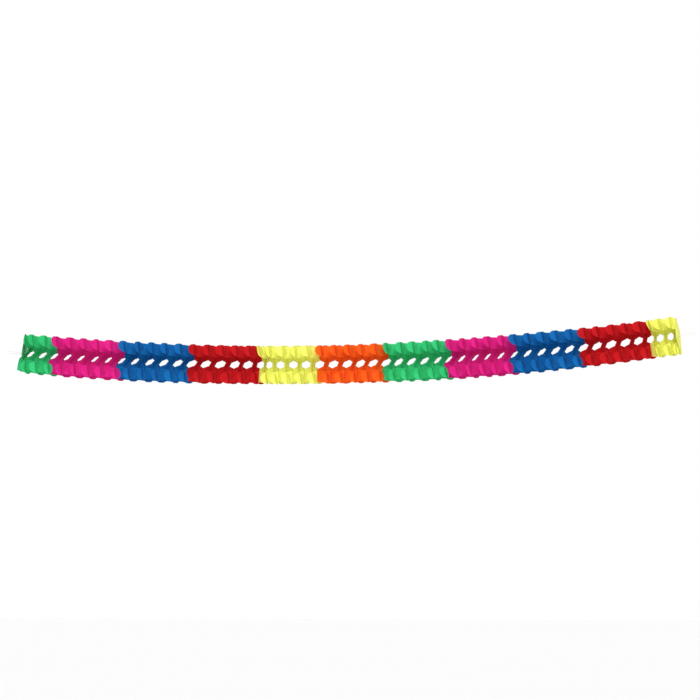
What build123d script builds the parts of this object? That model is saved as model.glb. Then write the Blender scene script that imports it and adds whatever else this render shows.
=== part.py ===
from build123d import *
import os
from math import asin, atan2, cos, hypot, pi, sin

# Honeycomb tissue garland: four-lobed sheets glued in stripes, pulled open and hung in a shallow swag.
# Millimetres, +Z up. The origin is the eye of the left hanging thread, and the garland runs along +X.
# Every sheet is a wave from front to back. It meets one neighbour at its middle stripe and at a stripe
# through its front and back lobes (the near plane), and the other neighbour at the two stripes between
# (the far plane). In front and behind, the rims of a pair stand open again as round petals.
# A cell is a pair of sheets with their near planes together, and five cells make one colour.

os.makedirs("parts", exist_ok=True)

# Swag: an arc of a large circle, lowest a good third of the way along
swag_radius = 9128.0
left_reach = 810.0           # arc length from the left card to the lowest point

# Paper
cell_pitch = 43.1            # length of one cell at ordinary stretch
paper = 0.4                  # sheet thickness in the model, a stand-in for 0.03 mm tissue
glue_line = 0.1              # gap held by the paste inside a cell
cell_gap = 0.6               # gap between the sheets of neighbouring cells
glue_land = 4.5              # width of a glue stripe
far_stripe = 21.0            # from the middle stripe to the next in front or behind, garland open
near_stripe = 37.0           # to the one after it, inside the cell again
rim_share = 0.85             # how far the front and back rims stand open, as a share of the wave

# Outline of a sheet, as it stands in the open garland
lobe_radius = 18.0
lobe_height = 44.0           # lobe centre above or below the middle
lobe_depth = 41.0            # lobe centre in front of the middle or behind it
valley_height = 50.0         # top valley between the front and the back lobe
notch_height = 15.5          # half height of the side notch where it meets the far stripe
waist = 8.0                  # half depth at the middle
waist_land = 8.0             # half height of the side notch at the waist

# Slow twist of the hung garland
twist_most = -5.0 * pi / 180  # largest turn about the garland's own line, front upwards
twist_length = 1270.0        # arc length of one full turn of the twist's wave
twist_rest = 864.0           # arc length from the left card to a place with no twist

# End cards and hanging threads
card_radius = 45.0
card_thickness = 1.2
hole_radius = 2.2
thread_radius = 0.5
thread_reach = 50.0          # from the card's inner face to the centre of the eye
eye_radius = 4.0             # thread's centre line round the eye
strand_offset = 0.8          # each strand from the middle of the hole
knot_radius = 2.5
knot_gap = 0.3

overrun = 5.0                # how far a cutting shape runs past what it cuts

# Colour runs from left to right, with the length of each of their cells as a share of the usual one.
# The first and the last run are cut off by the picture's edges.
run_shares = [
    ("green", (0.42, 1.02, 0.82)),
    ("pink", (1.02, 1.02, 1.04, 1.0, 1.02)),
    ("blue", (1.01, 1.1, 1.05, 1.06, 1.06)),
    ("red", (1.07, 1.08, 1.14, 0.95, 1.02)),
    ("yellow", (0.57, 0.84, 1.01, 0.93, 1.03)),
    ("orange", (1.05, 1.07, 0.95, 0.92, 1.05)),
    ("green", (0.89, 1.02, 0.95, 1.01, 0.79)),
    ("pink", (1.01, 1.01, 0.92, 1.0, 0.99)),
    ("blue", (1.01, 1.07, 1.02, 1.05, 1.05)),
    ("red", (1.04, 1.05, 1.12, 0.95, 1.0)),
    ("yellow", (0.61, 0.83, 0.56)),
]

# The left card's place on the swag, and the middle of the swag's circle
left_angle = -left_reach / swag_radius
left_along = Vector(cos(left_angle), 0, sin(left_angle))
left_up = Vector(-sin(left_angle), 0, cos(left_angle))
left_centre = left_along * thread_reach
swag_centre = left_centre + left_up * swag_radius


def frame_at(angle, twist=0.0):
    """Point, direction along the garland, up and front at an angle of the swag, after a twist."""
    along = Vector(cos(angle), 0, sin(angle))
    up = Vector(-sin(angle), 0, cos(angle))
    front = Vector(0, -1, 0)
    point = swag_centre - up * swag_radius
    return point, along, up * cos(twist) + front * sin(twist), front * cos(twist) - up * sin(twist)


def twist_at(arc):
    """Twist of the sheets at an arc length from the left card."""
    return twist_most * (1 - cos(2 * pi * (arc - twist_rest) / twist_length)) / 2


def wave_points(half_length):
    """Section of one sheet from above: x runs from the near plane to the far plane, y to the front."""
    near = glue_line / 2
    far = half_length - cell_gap / 2 - paper
    rim = near + rim_share * (far - near)
    land = glue_land / 2
    reach = lobe_depth + lobe_radius
    front_half = [
        (near, land),
        (far, far_stripe - land),
        (far, far_stripe + land),
        (near, near_stripe - land),
        (near, near_stripe + land),
        (rim, reach),
        (rim, reach + overrun),
    ]
    inner = [(x, -y) for x, y in reversed(front_half)] + front_half
    outer = [(x + paper, y) for x, y in reversed(inner)]
    return inner + outer


def paper_cell(angle, twist, pitch):
    """Two four-lobed sheets that mirror each other across their near planes."""
    point, along, up, front = frame_at(angle, twist)
    with BuildPart() as cell:
        with BuildSketch(Plane(origin=point, x_dir=along, z_dir=up)):
            with BuildLine():
                Polyline(*wave_points(pitch / 2), close=True)
            make_face()
        extrude(amount=lobe_height + lobe_radius + overrun, both=True)
        with BuildSketch(Plane(origin=point, x_dir=up, z_dir=along)):
            with BuildLine():
                Polyline(
                    (0, waist),
                    (waist_land, waist),
                    (notch_height, far_stripe),
                    (lobe_height - lobe_radius, lobe_depth),
                    (lobe_height + lobe_radius, lobe_depth),
                    (valley_height, 0),
                )
                mirror(about=Plane.XZ)
                mirror(about=Plane.YZ)
            make_face()
            with GridLocations(2 * lobe_height, 2 * lobe_depth, 2, 2):
                Circle(lobe_radius)
        extrude(amount=pitch / 2 + overrun, mode=Mode.INTERSECT)
        mirror(about=Plane(origin=point, z_dir=along))
    return cell


def end_card(angle, side):
    """Round stiff card, with the thread's hole. side is -1 for the left end and 1 for the right."""
    point, along, up, front = frame_at(angle)
    with BuildPart() as card:
        with BuildSketch(Plane(origin=point, x_dir=up, z_dir=along * side)):
            Circle(card_radius)
            Circle(hole_radius, mode=Mode.SUBTRACT)
        extrude(amount=card_thickness)
    return card


def hanging_thread(angle, side):
    """A knot behind the card and one loop of thread out through its hole."""
    point, along, up, front = frame_at(angle)
    knot_at = -(knot_radius + knot_gap)
    reach = thread_reach - knot_at
    slope = asin(eye_radius / hypot(reach, strand_offset)) - atan2(strand_offset, reach)
    eye_end = thread_reach - eye_radius * sin(slope)
    eye_side = eye_radius * cos(slope)
    plane = Plane(origin=point, x_dir=along * side, z_dir=front * side)
    with BuildPart() as thread:
        with BuildLine(plane) as loop:
            Line((knot_at, strand_offset), (eye_end, eye_side))
            ThreePointArc((eye_end, eye_side), (thread_reach + eye_radius, 0), (eye_end, -eye_side))
            Line((eye_end, -eye_side), (knot_at, -strand_offset))
        with BuildSketch(Plane(origin=loop.line @ 0, z_dir=loop.line % 0)):
            Circle(thread_radius)
        sweep(path=loop.line)
        with Locations(plane.location * Location((knot_at, 0, 0))):
            Sphere(knot_radius)
    return thread


def finish(built, label):
    """Labels a piece and writes it as its own STEP file."""
    built.part.label = label
    export_step(built.part, f"parts/{label}.step", write_pcurves=False)


# Left end
card_left = end_card(left_angle, -1)
finish(card_left, "card_left")
thread_left = hanging_thread(left_angle, -1)
finish(thread_left, "thread_left")

# Cells, one after another along the swag
arc = 0.0
number = 0
for colour, shares in run_shares:
    for share in shares:
        number += 1
        pitch = cell_pitch * share
        middle = arc + pitch / 2
        cell = paper_cell(left_angle + middle / swag_radius, twist_at(middle), pitch)
        finish(cell, f"cell_{number:02d}_{colour}")
        arc += pitch

# Right end
right_angle = left_angle + arc / swag_radius
card_right = end_card(right_angle, 1)
finish(card_right, "card_right")
thread_right = hanging_thread(right_angle, 1)
finish(thread_right, "thread_right")

print(f"{number} cells, {arc:.1f} mm of garland, swag centre {swag_centre}")
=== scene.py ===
"""Honeycomb tissue garland: soft waved sheets, end cards and hanging threads, hung in a pale studio."""

import logging
import math
from dataclasses import dataclass
from enum import Enum

import bpy
import numpy as np
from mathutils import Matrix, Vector


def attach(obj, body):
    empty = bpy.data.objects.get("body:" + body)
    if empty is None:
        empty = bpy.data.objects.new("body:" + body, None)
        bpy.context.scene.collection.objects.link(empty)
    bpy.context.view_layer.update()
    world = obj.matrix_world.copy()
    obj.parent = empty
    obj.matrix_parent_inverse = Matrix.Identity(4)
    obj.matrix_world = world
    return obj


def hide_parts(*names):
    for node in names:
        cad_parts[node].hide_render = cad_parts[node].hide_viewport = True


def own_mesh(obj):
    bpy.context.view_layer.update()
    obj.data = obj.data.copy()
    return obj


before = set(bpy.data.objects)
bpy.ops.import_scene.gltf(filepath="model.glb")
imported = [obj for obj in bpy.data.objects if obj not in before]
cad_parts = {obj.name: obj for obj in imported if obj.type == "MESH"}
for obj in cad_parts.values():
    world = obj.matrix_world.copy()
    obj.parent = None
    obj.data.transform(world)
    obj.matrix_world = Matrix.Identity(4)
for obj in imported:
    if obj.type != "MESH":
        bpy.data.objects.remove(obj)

logging.basicConfig(level=logging.INFO, format="%(message)s")
log = logging.getLogger("garland")


class Paper(Enum):
    """Tissue colours, by their slot in the record."""

    GREEN = "tissue_green"
    PINK = "tissue_pink"
    BLUE = "tissue_blue"
    RED = "tissue_red"
    YELLOW = "tissue_yellow"
    ORANGE = "tissue_orange"


class Side(Enum):
    """The two sides of a cell and of the whole garland, with their directions along it."""

    LEFT = -1
    RIGHT = 1

    @property
    def word(self) -> str:
        """The side's word in the names of pieces."""
        return self.name.lower()


@dataclass(frozen=True)
class PaperRun:
    """One colour's run of cells, with each cell's length as a share of the usual one."""

    paper: Paper
    shares: tuple[float, ...]


@dataclass(frozen=True)
class Swag:
    """The hung garland's line: an arc of a large circle, with a slow twist. Metres and radians."""

    radius: float = 9.128
    # From the left card to the lowest point, and from the left eye to the left card
    left_reach: float = 0.81
    thread_reach: float = 0.05
    # The largest twist, the length of its full wave, and where there is none
    twist_most: float = math.radians(-5.0)
    twist_length: float = 1.27
    twist_rest: float = 0.864

    @property
    def left_angle(self) -> float:
        """Angle of the left card on the swag's circle."""
        return -self.left_reach / self.radius

    def frame_at(self, arc: np.ndarray | float) -> tuple[np.ndarray, np.ndarray, np.ndarray]:
        """Finds the garland's line and its directions.

        Args:
            arc: Arc lengths from the left card, in metres.

        Returns:
            The points on the line, and the directions along and up.
        """
        start = self.left_angle
        first = np.array([math.cos(start), 0.0, math.sin(start)]) * self.thread_reach
        centre = first + np.array([-math.sin(start), 0.0, math.cos(start)]) * self.radius
        angle = start + np.asarray(arc) / self.radius
        still = np.zeros_like(angle)
        along = np.stack([np.cos(angle), still, np.sin(angle)], axis=-1)
        up = np.stack([-np.sin(angle), still, np.cos(angle)], axis=-1)
        return centre - up * self.radius, along, up

    def share_at(self, arc: np.ndarray) -> np.ndarray:
        """Share of the largest twist at arc lengths from the left card."""
        return (1 - np.cos(2 * np.pi * (arc - self.twist_rest) / self.twist_length)) / 2

    def place(self, arc: np.ndarray, rise: np.ndarray, front: np.ndarray) -> np.ndarray:
        """Puts points on the hung and twisted garland.

        Args:
            arc: Arc lengths from the left card, in metres.
            rise: Heights above the garland's line, before the twist.
            front: Depths towards the front, before the twist.

        Returns:
            The points in the row frame.
        """
        point, _, up = self.frame_at(arc)
        out = np.array([0.0, -1.0, 0.0])
        twist = self.twist_most * self.share_at(arc)
        turned_up = up * np.cos(twist)[:, None] + out * np.sin(twist)[:, None]
        turned_out = out * np.cos(twist)[:, None] - up * np.sin(twist)[:, None]
        return point + turned_up * rise[:, None] + turned_out * front[:, None]


def smooth(share: np.ndarray) -> np.ndarray:
    """Eases a share from 0 to 1, level at both ends."""
    return share * share * (3.0 - 2.0 * share)


def flight(depth: np.ndarray, start: float, end: float) -> np.ndarray:
    """Share of the way from one depth to another, 0 before it and 1 after it."""
    return np.clip((depth - start) / (end - start), 0.0, 1.0)


@dataclass(frozen=True)
class SheetCut:
    """A sheet's outline and the wave it takes from front to back when the garland is open. Metres."""

    lobe_radius: float = 0.018
    lobe_height: float = 0.044
    lobe_depth: float = 0.041
    valley_height: float = 0.046
    # Half heights of the side notch at the far stripe and at the waist, and the waist's half depth
    notch_height: float = 0.0172
    waist_land: float = 0.006
    waist: float = 0.008
    # Depths of the paste stripes in front of the middle one and behind it, and the width of each
    far_stripe: float = 0.021
    near_stripe: float = 0.037
    land: float = 0.0045
    # The wave: how far the rims stand open, how round its bends are, and how early its bulge comes
    rim_share: float = 0.77
    softness: float = 0.6
    bulge_ease: float = 0.66
    # The grid: the width of the step at the waist, rows in each half, columns round the rim, and where they end
    edge: float = 0.00005
    rows: int = 16
    rim_columns: int = 10
    rim_end: float = 0.985

    @property
    def reach(self) -> float:
        """Depth of the lobes' front rims."""
        return self.lobe_depth + self.lobe_radius

    def round_at(self, depth: np.ndarray) -> np.ndarray:
        """Half height of a lobe's round rim at a depth."""
        out = np.clip((depth - self.lobe_depth) / self.lobe_radius, 0.0, 1.0)
        return self.lobe_radius * np.sqrt(1.0 - out * out)

    def top_at(self, depth: np.ndarray) -> np.ndarray:
        """Follows the sheet's upper edge.

        Args:
            depth: Distances in front of the middle or behind it.

        Returns:
            The edge's heights there.
        """
        crest = self.lobe_height + self.lobe_radius
        line = np.interp(depth, (0.0, self.lobe_depth), (self.valley_height, crest))
        return np.where(depth < self.lobe_depth, line, self.lobe_height + self.round_at(depth))

    def notch_at(self, depth: np.ndarray) -> np.ndarray:
        """Follows the side notch's edge.

        Args:
            depth: Distances in front of the middle or behind it.

        Returns:
            The edge's heights there, nothing at the waist.
        """
        at = (self.waist, self.waist + self.edge, self.far_stripe, self.lobe_depth)
        high = (0.0, self.waist_land, self.notch_height, self.lobe_height - self.lobe_radius)
        line = np.interp(depth, at, high)
        return np.where(depth < self.lobe_depth, line, self.lobe_height - self.round_at(depth))

    def wave_at(self, depth: np.ndarray, swell: np.ndarray) -> np.ndarray:
        """How far the sheet is from its near plane: 0 on it, and 1 on the far plane.

        Args:
            depth: Distances in front of the middle or behind it.
            swell: How much the sheet bulges out between its middle stripe and the next.

        Returns:
            The wave at each point.
        """
        half = self.land / 2
        out = flight(depth, half, self.far_stripe - half)
        back = flight(depth, self.far_stripe + half, self.near_stripe - half)
        rim = flight(depth, self.near_stripe + half, self.reach)
        bulge = swell * np.sin(np.pi * out**self.bulge_ease)
        return np.minimum(self.bent_flight(out) + bulge, 1.0) - self.bent_flight(back) + self.rim_share * rim

    def bent_flight(self, share: np.ndarray) -> np.ndarray:
        """A flight between two stripes with its ends bent soft."""
        return share * (1.0 - self.softness) + smooth(share) * self.softness

    def depths(self) -> np.ndarray:
        """Lays the grid's columns close together where the sheet bends.

        Returns:
            The columns' depths, from the back rim to the front rim.
        """
        half = self.land / 2
        # Where each stretch of columns starts, and how many it has
        stops = (
            (0.0, 1),
            (half, 3),
            (self.waist, 1),
            (self.waist + self.edge, 5),
            (self.far_stripe - half, 2),
            (self.far_stripe + half, 5),
            (self.near_stripe - half, 2),
            (self.near_stripe + half, 1),
        )
        ends = [stop[0] for stop in stops[1:]] + [self.lobe_depth]
        parts = [np.linspace(low, high, count, endpoint=False) for (low, count), high in zip(stops, ends)]
        turn = np.linspace(0.0, math.pi / 2, self.rim_columns) * self.rim_end
        parts.append(self.lobe_depth + self.lobe_radius * np.sin(turn))
        ahead = np.concatenate(parts)
        return np.concatenate([-ahead[:0:-1], ahead])

    def grid(self) -> tuple[np.ndarray, np.ndarray, list[tuple[int, int, int, int]]]:
        """Lays a grid over the outline, in columns from back to front.

        Returns:
            Every point's height, every point's depth towards the front, and the faces.
        """
        depths = self.depths()
        top = self.top_at(np.abs(depths))
        notch = np.minimum(self.notch_at(np.abs(depths)), top)
        heights, fronts, faces = [], [], []
        index: dict[tuple[int, int], int] = {}
        for column, depth in enumerate(depths):
            for row in range(-self.rows - 1, self.rows + 2):
                if row == 0 or (row == -1 and notch[column] == 0.0):
                    continue
                step = (abs(row) - 1) / self.rows
                index[column, row] = len(heights)
                heights.append(math.copysign(notch[column] + (top[column] - notch[column]) * step, row))
                fronts.append(depth)
            if notch[column] == 0.0:
                index[column, -1] = index[column, 1]
        for column in range(len(depths) - 1):
            for row in list(range(-self.rows - 1, -1)) + list(range(1, self.rows + 1)):
                corners = ((column, row), (column + 1, row), (column + 1, row + 1), (column, row + 1))
                faces.append(tuple(index[corner] for corner in corners))
        return np.array(heights), np.array(fronts), faces


Colour = tuple[float, float, float]


def deepened(colour: Colour, power: float, level: float) -> tuple[float, ...]:
    """A darker and fuller shade of a colour, with alpha."""
    return (*(level * c**power for c in colour), 1.0)


def lightened(colour: Colour, level: float, white: float) -> tuple[float, ...]:
    """A lighter shade of a colour, with alpha."""
    return (*(min(1.0, c * level + white) for c in colour), 1.0)


def mixed_noises(
    tree: bpy.types.NodeTree,
    first: bpy.types.Node,
    second: bpy.types.Node,
    share: float,
) -> bpy.types.Node:
    """Mixes two noises, the first by its share and the second by the rest.

    Args:
        tree: The material's nodes.
        first: The first noise.
        second: The second noise.
        share: The first noise's share.

    Returns:
        The node whose first output is the mix.
    """
    rest = tree.nodes.new("ShaderNodeMath")
    rest.operation = "MULTIPLY"
    rest.inputs[1].default_value = 1.0 - share
    tree.links.new(second.outputs["Fac"], rest.inputs[0])
    mix = tree.nodes.new("ShaderNodeMath")
    mix.operation = "MULTIPLY_ADD"
    mix.inputs[1].default_value = share
    tree.links.new(first.outputs["Fac"], mix.inputs[0])
    tree.links.new(rest.outputs[0], mix.inputs[2])
    return mix


def ramp(
    tree: bpy.types.NodeTree,
    low: tuple[float, ...],
    high: tuple[float, ...],
    ends: tuple[float, float],
) -> bpy.types.Node:
    """Adds a ramp between two colours.

    Args:
        tree: The material's nodes.
        low: The colour at the lower end.
        high: The colour at the upper end.
        ends: The values at which the two colours are reached.

    Returns:
        The ramp node.
    """
    made = tree.nodes.new("ShaderNodeValToRGB")
    for element, place, colour in zip(made.color_ramp.elements, ends, (low, high)):
        element.position = place
        element.color = colour
    return made


def relief(tree: bpy.types.NodeTree, pattern: bpy.types.Node, strength: float, depth: float) -> bpy.types.Node:
    """Adds a bump from a pattern.

    Args:
        tree: The material's nodes.
        pattern: The noise or wave whose factor is the height.
        strength: The bump's strength.
        depth: The bump's depth, in metres.

    Returns:
        The bump node.
    """
    made = tree.nodes.new("ShaderNodeBump")
    made.inputs["Strength"].default_value = strength
    made.inputs["Distance"].default_value = depth
    tree.links.new(pattern.outputs["Fac"], made.inputs["Height"])
    return made


# Where the middle of a sheet lies on its flat map
MAP_MIDDLE = 0.5


@dataclass(frozen=True)
class TissueFinish:
    """Matt dyed tissue that lets light through. Colours are linear, and scales are features across the sheet."""

    name: str
    face: Colour
    through: Colour
    through_share: float = 0.25
    roughness: float = 0.88
    specular: float = 0.08
    sheen: float = 0.03
    sheen_roughness: float = 0.6
    cloud_scale: float = 3.2
    cloud_detail: float = 3.0
    fibre_scale: float = 70.0
    fibre_detail: float = 4.0
    fibre_share: float = 0.35
    # The dye's darkest shade as a power and a level, its lightest as a level and added white, and where they are
    dye_deep: tuple[float, float] = (1.25, 0.82)
    dye_light: tuple[float, float] = (1.08, 0.006)
    dye_ends: tuple[float, float] = (0.25, 0.72)
    crinkle_scale: float = 11.0
    crinkle_detail: float = 5.0
    crinkle: float = 0.35
    crinkle_depth: float = 0.0012
    # The paste stripes, in shares of the sheet's width: half their spacing, and where their sides fade
    stripe_reach: float = 0.0825
    stripe_sides: tuple[float, float] = (0.013, 0.019)
    stripe_shade: float = 0.45
    stripe_deep: tuple[float, float] = (1.3, 0.8)

    def material(self) -> bpy.types.Material:
        """Makes the paper's material: cloudy dye, fibres, paste stripes and a fine crinkle.

        Returns:
            The new material, which reads the sheet's own flat map and its shift attribute.
        """
        mat = bpy.data.materials.new(self.name)
        mat.use_nodes = True
        tree = mat.node_tree
        tree.nodes.clear()
        new, link = tree.nodes.new, tree.links.new
        out = new("ShaderNodeOutputMaterial")
        mix = new("ShaderNodeMixShader")
        mix.inputs[0].default_value = self.through_share
        front = new("ShaderNodeBsdfPrincipled")
        front.inputs["Roughness"].default_value = self.roughness
        front.inputs["Specular IOR Level"].default_value = self.specular
        front.inputs["Sheen Weight"].default_value = self.sheen
        front.inputs["Sheen Roughness"].default_value = self.sheen_roughness
        back = new("ShaderNodeBsdfTranslucent")
        flat = new("ShaderNodeUVMap")
        flat.uv_map = "Flat"
        shift = new("ShaderNodeAttribute")
        shift.attribute_name = "shift"
        cloud = self.noise(tree, flat, shift, self.cloud_scale, self.cloud_detail)
        fibre = self.noise(tree, flat, shift, self.fibre_scale, self.fibre_detail)
        crinkle = self.noise(tree, flat, shift, self.crinkle_scale, self.crinkle_detail)
        stripes = self.paste_stripes(tree, flat)
        depth = mixed_noises(tree, fibre, cloud, self.fibre_share)
        for shader, colour in ((front, self.face), (back, self.through)):
            dye = ramp(tree, deepened(colour, *self.dye_deep), lightened(colour, *self.dye_light), self.dye_ends)
            link(depth.outputs[0], dye.inputs[0])
            paste = new("ShaderNodeMix")
            paste.data_type = "RGBA"
            link(stripes.outputs[0], paste.inputs["Factor"])
            link(dye.outputs[0], paste.inputs["A"])
            paste.inputs["B"].default_value = deepened(colour, *self.stripe_deep)
            link(paste.outputs["Result"], shader.inputs[0])
        bump = relief(tree, crinkle, self.crinkle, self.crinkle_depth)
        link(bump.outputs[0], front.inputs["Normal"])
        link(bump.outputs[0], back.inputs["Normal"])
        link(front.outputs[0], mix.inputs[1])
        link(back.outputs[0], mix.inputs[2])
        link(mix.outputs[0], out.inputs["Surface"])
        return mat

    def noise(
        self,
        tree: bpy.types.NodeTree,
        flat: bpy.types.Node,
        shift: bpy.types.Node,
        scale: float,
        detail: float,
    ) -> bpy.types.Node:
        """Adds a noise on the flat sheet, different on every sheet.

        Args:
            tree: The material's nodes.
            flat: The node that gives the flat map.
            shift: The node that gives the sheet's own shift.
            scale: Features across the sheet.
            detail: Octaves of the noise.

        Returns:
            The noise node.
        """
        made = tree.nodes.new("ShaderNodeTexNoise")
        made.noise_dimensions = "4D"
        made.inputs["Scale"].default_value = scale
        made.inputs["Detail"].default_value = detail
        tree.links.new(flat.outputs["UV"], made.inputs["Vector"])
        tree.links.new(shift.outputs["Fac"], made.inputs["W"])
        return made

    def paste_stripes(self, tree: bpy.types.NodeTree, flat: bpy.types.Node) -> bpy.types.Node:
        """Adds the five paste stripes' mask on the flat map.

        Args:
            tree: The material's nodes.
            flat: The node that gives the flat map.

        Returns:
            The node whose first output is the mask.
        """
        new, link = tree.nodes.new, tree.links.new
        parts = new("ShaderNodeSeparateXYZ")
        link(flat.outputs["UV"], parts.inputs[0])
        place = new("ShaderNodeMath")
        place.operation = "PINGPONG"
        place.inputs[1].default_value = self.stripe_reach
        middle = new("ShaderNodeMath")
        middle.operation = "SUBTRACT"
        middle.inputs[1].default_value = MAP_MIDDLE
        link(parts.outputs["X"], middle.inputs[0])
        link(middle.outputs[0], place.inputs[0])
        mask = new("ShaderNodeMapRange")
        mask.interpolation_type = "SMOOTHSTEP"
        mask.inputs["From Min"].default_value = self.stripe_sides[0]
        mask.inputs["From Max"].default_value = self.stripe_sides[1]
        mask.inputs["To Min"].default_value = self.stripe_shade
        mask.inputs["To Max"].default_value = 0.0
        link(place.outputs[0], mask.inputs["Value"])
        return mask


TISSUE = {
    Paper.GREEN: TissueFinish("green_tissue", (0.05, 0.62, 0.24), (0.06, 0.68, 0.24)),
    Paper.PINK: TissueFinish("pink_tissue", (0.76, 0.02, 0.29), (0.86, 0.02, 0.36)),
    Paper.BLUE: TissueFinish("blue_tissue", (0.004, 0.17, 0.47), (0.005, 0.2, 0.56)),
    Paper.RED: TissueFinish("red_tissue", (0.60, 0.008, 0.014), (0.74, 0.01, 0.02)),
    Paper.YELLOW: TissueFinish("yellow_tissue", (0.9, 0.92, 0.2), (0.92, 0.92, 0.22)),
    Paper.ORANGE: TissueFinish("orange_tissue", (0.94, 0.15, 0.012), (1.0, 0.2, 0.012)),
}


@dataclass(frozen=True)
class CardFinish:
    """Dyed stiff card with a fine fibre grain and a few cloudy patches. Scales are features in a metre."""

    name: str
    face: Colour
    roughness: float = 0.72
    specular: float = 0.3
    grain_scale: float = 900.0
    grain_detail: float = 6.0
    grain_share: float = 0.5
    grain: float = 0.25
    grain_depth: float = 0.0002
    cloud_scale: float = 45.0
    cloud_detail: float = 3.0
    dye_deep: tuple[float, float] = (1.2, 0.8)
    dye_light: tuple[float, float] = (1.04, 0.02)
    dye_ends: tuple[float, float] = (0.32, 0.62)

    def material(self) -> bpy.types.Material:
        """Makes the card's material.

        Returns:
            The new material, on object coordinates.
        """
        mat = bpy.data.materials.new(self.name)
        mat.use_nodes = True
        tree = mat.node_tree
        new, link = tree.nodes.new, tree.links.new
        shader = tree.nodes["Principled BSDF"]
        shader.inputs["Roughness"].default_value = self.roughness
        shader.inputs["Specular IOR Level"].default_value = self.specular
        place = new("ShaderNodeTexCoord")
        grain = new("ShaderNodeTexNoise")
        grain.inputs["Scale"].default_value = self.grain_scale
        grain.inputs["Detail"].default_value = self.grain_detail
        cloud = new("ShaderNodeTexNoise")
        cloud.inputs["Scale"].default_value = self.cloud_scale
        cloud.inputs["Detail"].default_value = self.cloud_detail
        for noise in (grain, cloud):
            link(place.outputs["Object"], noise.inputs["Vector"])
        depth = mixed_noises(tree, grain, cloud, self.grain_share)
        dark, light = deepened(self.face, *self.dye_deep), lightened(self.face, *self.dye_light)
        dye = ramp(tree, dark, light, self.dye_ends)
        link(depth.outputs[0], dye.inputs[0])
        link(dye.outputs[0], shader.inputs["Base Color"])
        bump = relief(tree, grain, self.grain, self.grain_depth)
        link(bump.outputs[0], shader.inputs["Normal"])
        return mat


GREEN_CARD = CardFinish("green_card", (0.04, 0.5, 0.18))
YELLOW_CARD = CardFinish("yellow_card", (0.86, 0.86, 0.16))


@dataclass(frozen=True)
class ThreadFinish:
    """White cotton thread, with the fine slanted bands of its plies."""

    name: str = "cotton_thread"
    face: Colour = (0.86, 0.85, 0.8)
    roughness: float = 0.85
    sheen: float = 0.2
    plies_deep: tuple[float, float] = (1.0, 0.7)
    plies_in_metre: float = 220.0
    plies_wander: float = 1.5
    plies_relief: float = 0.5
    plies_depth: float = 0.0001

    def material(self) -> bpy.types.Material:
        """Makes the thread's material.

        Returns:
            The new material, on object coordinates.
        """
        mat = bpy.data.materials.new(self.name)
        mat.use_nodes = True
        tree = mat.node_tree
        new, link = tree.nodes.new, tree.links.new
        shader = tree.nodes["Principled BSDF"]
        shader.inputs["Roughness"].default_value = self.roughness
        shader.inputs["Sheen Weight"].default_value = self.sheen
        place = new("ShaderNodeTexCoord")
        plies = new("ShaderNodeTexWave")
        plies.bands_direction = "DIAGONAL"
        plies.inputs["Scale"].default_value = self.plies_in_metre
        plies.inputs["Distortion"].default_value = self.plies_wander
        link(place.outputs["Object"], plies.inputs["Vector"])
        dye = ramp(tree, deepened(self.face, *self.plies_deep), (*self.face, 1.0), (0.0, 1.0))
        link(plies.outputs["Fac"], dye.inputs[0])
        link(dye.outputs[0], shader.inputs["Base Color"])
        bump = relief(tree, plies, self.plies_relief, self.plies_depth)
        link(bump.outputs[0], shader.inputs["Normal"])
        return mat


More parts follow.
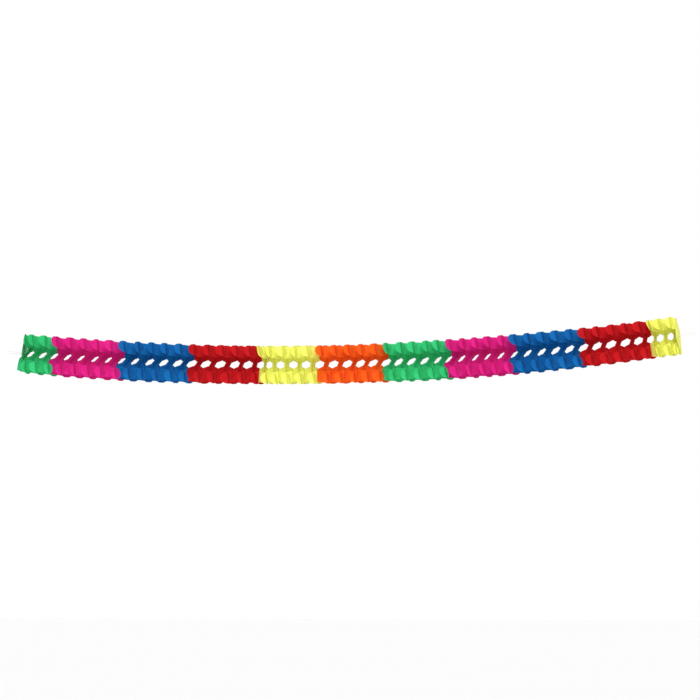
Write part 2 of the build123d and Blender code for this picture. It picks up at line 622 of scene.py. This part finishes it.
@dataclass(frozen=True)
class Garland:
    """All tissue sheets, cell by cell along the swag. Metres."""

    swag: Swag
    cut: SheetCut
    cell_pitch: float = 0.0431
    glue_line: float = 0.0002
    cell_gap: float = 0.0004
    # How far the glue planes and the petals stray from their places, and how much of that cups a petal
    wander: float = 0.0011
    petal_wander: float = 0.0026
    petal_ease: float = 1.5
    cup_share: float = 0.6
    # What a glue plane keeps of its shift, and the level about which it bows
    shift_share: float = 0.5
    bow_level: float = 0.4
    # How the core leans and bulges where the twist is large, and how early each comes
    core_lean: float = 0.95
    core_ease: float = 0.4
    swell: float = 0.4
    swell_ease: float = 2.5
    # How the petals lean the other way, and the length next to a card over which they stand straighter
    petal_lean: float = -0.2
    end_hold: float = 0.03
    # The sheet laid flat: its size, its area, and its width for each part of its depth in the garland
    flat_width: float = 0.175
    flat_height: float = 0.124
    flat_area: float = 0.0133
    flat_share: float = 1.48
    # How far the sheets' own patterns are shifted from each other
    pattern_shift: float = 3.0
    # What a cell keeps of its length in the folded stack
    folded: float = 0.0004
    # The random source, and the draws for each glue plane and each sheet, a few of them spare
    seed: int = 11
    plane_draws: int = 6
    sheet_draws: int = 12
    petals: int = 4
    runs: tuple[PaperRun, ...] = (
        PaperRun(Paper.GREEN, (0.42, 1.02, 0.82)),
        PaperRun(Paper.PINK, (1.02, 1.02, 1.04, 1.0, 1.02)),
        PaperRun(Paper.BLUE, (1.01, 1.1, 1.05, 1.06, 1.06)),
        PaperRun(Paper.RED, (1.07, 1.08, 1.14, 0.95, 1.02)),
        PaperRun(Paper.YELLOW, (0.57, 0.84, 1.01, 0.93, 1.03)),
        PaperRun(Paper.ORANGE, (1.05, 1.07, 0.95, 0.92, 1.05)),
        PaperRun(Paper.GREEN, (0.89, 1.02, 0.95, 1.01, 0.79)),
        PaperRun(Paper.PINK, (1.01, 1.01, 0.92, 1.0, 0.99)),
        PaperRun(Paper.BLUE, (1.01, 1.07, 1.02, 1.05, 1.05)),
        PaperRun(Paper.RED, (1.04, 1.05, 1.12, 0.95, 1.0)),
        PaperRun(Paper.YELLOW, (0.61, 0.83, 0.56)),
    )

    def length(self) -> float:
        """Arc length of all cells together."""
        return self.cell_pitch * sum(share for run in self.runs for share in run.shares)

    def build(self) -> None:
        """Makes both sheets of every cell and puts them on the cells' bodies."""
        rng = np.random.default_rng(self.seed)
        nodes = sorted(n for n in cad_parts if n.startswith("cell_"))
        finishes = {paper: TISSUE[paper].material() for paper in Paper}
        cells = [(run.paper, share * self.cell_pitch) for run in self.runs for share in run.shares]
        planes = [rng.normal(0, self.wander, self.plane_draws) for _ in range(2 * len(cells) + 1)]
        arc = 0.0
        number = 0
        for node, (paper, pitch) in zip(nodes, cells, strict=True):
            middle = arc + pitch / 2
            left, near, right = planes[number : number + 3]
            for side, far in ((Side.LEFT, left), (Side.RIGHT, right)):
                number += 1
                sheet = self.sheet(f"sheet_{number:03d}", middle, pitch, side, near, far, rng)
                sheet.data.materials.append(finishes[paper])
                self.dress(sheet, node, middle)
                log.info("%s on %s", sheet.name, node)
            arc += pitch
        log.info("%d sheets in %d cells, %.3f m", number, len(cells), arc)

    def sheet(
        self,
        name: str,
        middle: float,
        pitch: float,
        side: Side,
        near: np.ndarray,
        far: np.ndarray,
        rng: np.random.Generator,
    ) -> bpy.types.Object:
        """Makes one waved sheet.

        Args:
            name: The new piece's name.
            middle: The cell's middle, as an arc length from the left card.
            pitch: The cell's length.
            side: Which of the cell's two sheets it is.
            near: How the near plane wanders from flat.
            far: How the far plane wanders from flat.
            rng: The source of this sheet's own small bends.

        Returns:
            The sheet, in place, with its flat map and its shift attribute.
        """
        rise, front, faces = self.cut.grid()
        own = rng.normal(0, 1, self.sheet_draws)
        twisted = self.swag.share_at(middle) ** self.swell_ease
        swell = self.swell * twisted * np.exp(-((rise / self.cut.far_stripe) ** 2))
        wave = self.cut.wave_at(np.abs(front), swell)
        offset = side.value * (self.glue_line / 2 + (pitch / 2 - self.cell_gap / 2) * wave)
        offset += self.bent(near, rise, front) * (1 - wave) + self.bent(far, rise, front) * wave
        offset += self.petal_bend(own, rise, front)
        offset += self.lean(middle + offset, rise, front)
        verts = self.swag.place(middle + offset, rise, front)
        flat = np.stack([front * self.flat_share, rise], axis=1) / self.flat_width + MAP_MIDDLE
        mesh = bpy.data.meshes.new(name)
        mesh.from_pydata(verts.tolist(), [], faces)
        mesh.update()
        layer = mesh.uv_layers.new(name="Flat")
        corners = np.zeros(len(mesh.loops), np.int32)
        mesh.loops.foreach_get("vertex_index", corners)
        layer.data.foreach_set("uv", flat.astype(np.float32)[corners].ravel())
        shift = mesh.attributes.new("shift", "FLOAT", "POINT")
        shift.data.foreach_set("value", np.full(len(verts), self.pattern_shift * own[0], np.float32))
        mesh.shade_smooth()
        sheet = bpy.data.objects.new(name, mesh)
        bpy.context.scene.collection.objects.link(sheet)
        return sheet

    def bent(self, plane: np.ndarray, rise: np.ndarray, front: np.ndarray) -> np.ndarray:
        """Bends a glue plane a little, alike for the sheets on both its sides.

        Args:
            plane: The plane's own random numbers.
            rise: Heights of the points.
            front: Depths of the points.

        Returns:
            How far each point moves along the garland, in metres.
        """
        up, out = rise / self.cut.lobe_height, front / self.cut.reach
        shift, tip, turn, warp, bow = plane[:5]
        bowed = bow * (out * out - self.bow_level)
        return shift * self.shift_share + tip * up + turn * out + warp * up * out + bowed

    def lean(self, arc: np.ndarray, rise: np.ndarray, front: np.ndarray) -> np.ndarray:
        """How far the twist pulls points along the garland: the core leans one way and the petals the other.

        Args:
            arc: Arc lengths of the points from the left card.
            rise: Heights of the points.
            front: Depths of the points.

        Returns:
            How far each point moves along the garland, in metres.
        """
        outer = smooth(flight(np.abs(front), self.cut.far_stripe, self.cut.near_stripe))
        held = self.cut.notch_height * np.tanh(rise / self.cut.notch_height)
        core = self.core_lean * self.swag.share_at(arc) ** self.core_ease * held
        free = flight(np.minimum(arc, self.length() - arc), 0.0, self.end_hold)
        return core * (1.0 - outer) + self.petal_lean * free * rise * outer

    def petal_bend(self, own: np.ndarray, rise: np.ndarray, front: np.ndarray) -> np.ndarray:
        """Bends each of a sheet's four petals its own way beyond its last stripe.

        Args:
            own: The sheet's own random numbers.
            rise: Heights of the points.
            front: Depths of the points.

        Returns:
            How far each point moves along the garland, in metres.
        """
        beyond = flight(np.abs(front), self.cut.near_stripe, self.cut.reach)
        which = (rise > 0).astype(int) + 2 * (front > 0).astype(int)
        across = (rise - np.sign(rise) * self.cut.lobe_height) / self.cut.lobe_radius
        droop, cup = own[which], own[self.petals + which] * across
        return beyond**self.petal_ease * self.petal_wander * (droop + cup * self.cup_share)

    def dress(
        self,
        sheet: bpy.types.Object,
        node: str,
        middle: float,
    ) -> None:
        """Args:
            sheet: The sheet.
            node: The cell's CAD node. Its name starts with the body's, as in cell_07.
            middle: The cell's middle, as an arc length from the left card. Its point on the swag is found but
                not used.
        """
        point, along, _ = self.swag.frame_at(middle)
        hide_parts(node)
        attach(sheet, node[: len("cell_07")])
        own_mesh(sheet)


@dataclass(frozen=True)
class HangingEnd:
    """One end of the garland: its stiff card, and the knotted thread loop out through the card. Metres."""

    swag: Swag
    side: Side
    arc: float
    card: CardFinish
    thread: ThreadFinish
    thread_radius: float = 0.0005
    thread_length: float = 0.1184
    # The knot's turns: the radius of each, and how each is turned
    knot_ring: float = 0.0013
    knot_turns: tuple[tuple[float, float, float], ...] = ((0.0, 0.0, 0.0), (1.2, 0.4, 0.0), (0.5, 1.3, 0.6))
    # The route of the loop's upper strand: distance out from the card's inner face, and height
    strand: tuple[tuple[float, float], ...] = (
        (-0.0028, 0.0008),
        (0.0235, 0.0024),
        (0.0480, 0.0040),
        (0.0530, 0.0043),
    )
    # How far out the loop's tip is
    tip: float = 0.0546
    # How finely the loop is rounded, across and along it, and how finely the knot's turns are
    thread_steps: int = 3
    route_steps: int = 12
    route_order: int = 3
    turn_segments: int = 24
    turn_sides: int = 10

    def build(self) -> None:
        """Finishes the card, and makes the knot and the loop."""
        card = bpy.data.objects[f"card_{self.side.word}"]
        for slot in card.material_slots:
            slot.material = self.card.material()
        finish = self.thread.material()
        point, along, up = self.swag.frame_at(self.arc)
        place = [point + along * self.side.value * out + up * high for out, high in self.route()]
        knot = self.knot(tuple(point + along * self.side.value * self.strand[0][0]), finish)
        loop = self.loop(place, finish)
        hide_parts(f"thread_{self.side.word}")
        for piece in (knot, loop):
            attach(piece, f"{self.side.word}_end")
        for piece in (card, knot, loop):
            log.info("%s on %s_end", piece.name, self.side.word)

    def route(self) -> list[tuple[float, float]]:
        """Points out along the upper strand, round the eye and back along the lower strand."""
        back = [(out, -high) for out, high in reversed(self.strand)]
        return [*self.strand, (self.tip, 0.0), *back]

    def loop(self, place: list[np.ndarray], finish: bpy.types.Material) -> bpy.types.Object:
        """Makes the thread's loop.

        Args:
            place: The route's points in the row frame.
            finish: The thread's material.

        Returns:
            The loop, a round curve along the route.
        """
        data = bpy.data.curves.new(f"loop_{self.side.word}", "CURVE")
        data.dimensions = "3D"
        data.bevel_depth = self.thread_radius
        data.bevel_resolution = self.thread_steps
        data.resolution_u = self.route_steps
        data.use_fill_caps = True
        spline = data.splines.new("NURBS")
        spline.points.add(len(place) - 1)
        for control, spot in zip(spline.points, place):
            control.co = (*spot, 1.0)
        spline.order_u = self.route_order
        spline.use_endpoint_u = True
        data.materials.append(finish)
        loop = bpy.data.objects.new(f"loop_{self.side.word}", data)
        bpy.context.scene.collection.objects.link(loop)
        return loop

    def knot(self, spot: tuple[float, float, float], finish: bpy.types.Material) -> bpy.types.Object:
        """Makes the knot behind the card, three tight turns of thread through each other.

        Args:
            spot: The knot's middle in the row frame.
            finish: The thread's material.

        Returns:
            The knot.
        """
        bpy.ops.object.select_all(action="DESELECT")
        turns = []
        for turn in self.knot_turns:
            bpy.ops.mesh.primitive_torus_add(
                location=spot,
                rotation=turn,
                major_segments=self.turn_segments,
                minor_segments=self.turn_sides,
                major_radius=self.knot_ring,
                minor_radius=2 * self.thread_radius,
            )
            turns.append(bpy.context.object)
        for turn in turns:
            turn.select_set(True)
        bpy.ops.object.join()
        knot = bpy.context.object
        bpy.ops.object.transform_apply(location=True, rotation=True, scale=True)
        knot.name = f"knot_{self.side.word}"
        bpy.ops.object.shade_smooth()
        knot.data.materials.append(finish)
        return knot


@dataclass(frozen=True)
class Studio:
    """Pale floor, white surroundings, soft lamps and the camera at the photograph's angle. Metres."""

    # The camera: its turn to the right, its distance, the width it takes in, and the point it looks at
    yaw: float = math.radians(9)
    distance: float = 60.0
    view_width: float = 2.24
    aim: tuple[float, float, float] = (1.1076, 0.0, 0.0077)
    sensor: float = 36.0
    far_clip: float = 200.0
    floor_drop: float = 1.3
    floor_size: float = 60.0
    floor_grey: float = 0.9
    floor_roughness: float = 0.9
    # The light: evenly from all round, and from a broad sun above, in front and a little to the right
    world_light: float = 0.4
    key_light: float = 2.85
    key_spread: float = 0.7
    key_turn: tuple[float, float, float] = (math.radians(43), 0.0, math.radians(26))

    def build(self) -> None:
        """Makes the floor, the world, the lamps and the camera."""
        self.floor()
        self.world()
        self.lamps()
        self.camera()
        log.info("studio")

    def floor(self) -> None:
        """Makes the pale floor below the garland."""
        bpy.ops.object.select_all(action="DESELECT")
        below = (self.aim[0], 0, self.aim[2] - self.floor_drop)
        bpy.ops.mesh.primitive_plane_add(size=self.floor_size, location=below)
        floor = bpy.context.object
        floor.name = "floor"
        mat = bpy.data.materials.new("pale_floor")
        mat.use_nodes = True
        shader = mat.node_tree.nodes["Principled BSDF"]
        shader.inputs["Base Color"].default_value = (self.floor_grey, self.floor_grey, self.floor_grey, 1)
        shader.inputs["Roughness"].default_value = self.floor_roughness
        floor.data.materials.append(mat)

    def world(self) -> None:
        """Lights the scene evenly and shows plain white behind the garland."""
        world = bpy.data.worlds.new("studio")
        world.use_nodes = True
        tree = world.node_tree
        shade = tree.nodes["Background"]
        shade.inputs["Color"].default_value = (1, 1, 1, 1)
        path = tree.nodes.new("ShaderNodeLightPath")
        seen = tree.nodes.new("ShaderNodeMath")
        seen.operation = "MAXIMUM"
        tree.links.new(path.outputs["Is Camera Ray"], seen.inputs[0])
        tree.links.new(path.outputs["Is Glossy Ray"], seen.inputs[1])
        clear = tree.nodes.new("ShaderNodeMath")
        clear.operation = "MAXIMUM"
        tree.links.new(seen.outputs[0], clear.inputs[0])
        tree.links.new(path.outputs["Is Transmission Ray"], clear.inputs[1])
        level = tree.nodes.new("ShaderNodeMapRange")
        level.inputs["To Min"].default_value = self.world_light
        level.inputs["To Max"].default_value = 1.0
        tree.links.new(clear.outputs[0], level.inputs["Value"])
        tree.links.new(level.outputs["Result"], shade.inputs["Strength"])
        bpy.context.scene.world = world

    def lamps(self) -> None:
        """Adds one broad soft key lamp from above and in front."""
        data = bpy.data.lights.new("key", "SUN")
        data.energy = self.key_light
        data.angle = self.key_spread
        lamp = bpy.data.objects.new("key", data)
        bpy.context.scene.collection.objects.link(lamp)
        lamp.rotation_euler = self.key_turn

    def camera(self) -> None:
        """Puts the camera in front and a little to the right, level with the garland."""
        data = bpy.data.cameras.new("camera")
        data.sensor_width = self.sensor
        data.lens = self.sensor * self.distance / self.view_width
        data.clip_end = self.far_clip
        camera = bpy.data.objects.new("camera", data)
        bpy.context.scene.collection.objects.link(camera)
        back = Vector((math.sin(self.yaw), -math.cos(self.yaw), 0))
        camera.location = Vector(self.aim) + back * self.distance
        camera.rotation_euler = (math.pi / 2, 0, self.yaw)
        bpy.context.scene.camera = camera


def main() -> None:
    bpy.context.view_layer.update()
    bpy.context.scene.view_settings.view_transform = "Standard"
    swag = Swag()
    garland = Garland(swag, SheetCut())
    garland.build()
    HangingEnd(swag, Side.LEFT, 0.0, GREEN_CARD, ThreadFinish()).build()
    HangingEnd(swag, Side.RIGHT, garland.length(), YELLOW_CARD, ThreadFinish()).build()
    Studio().build()


if __name__ == "__main__":
    main()
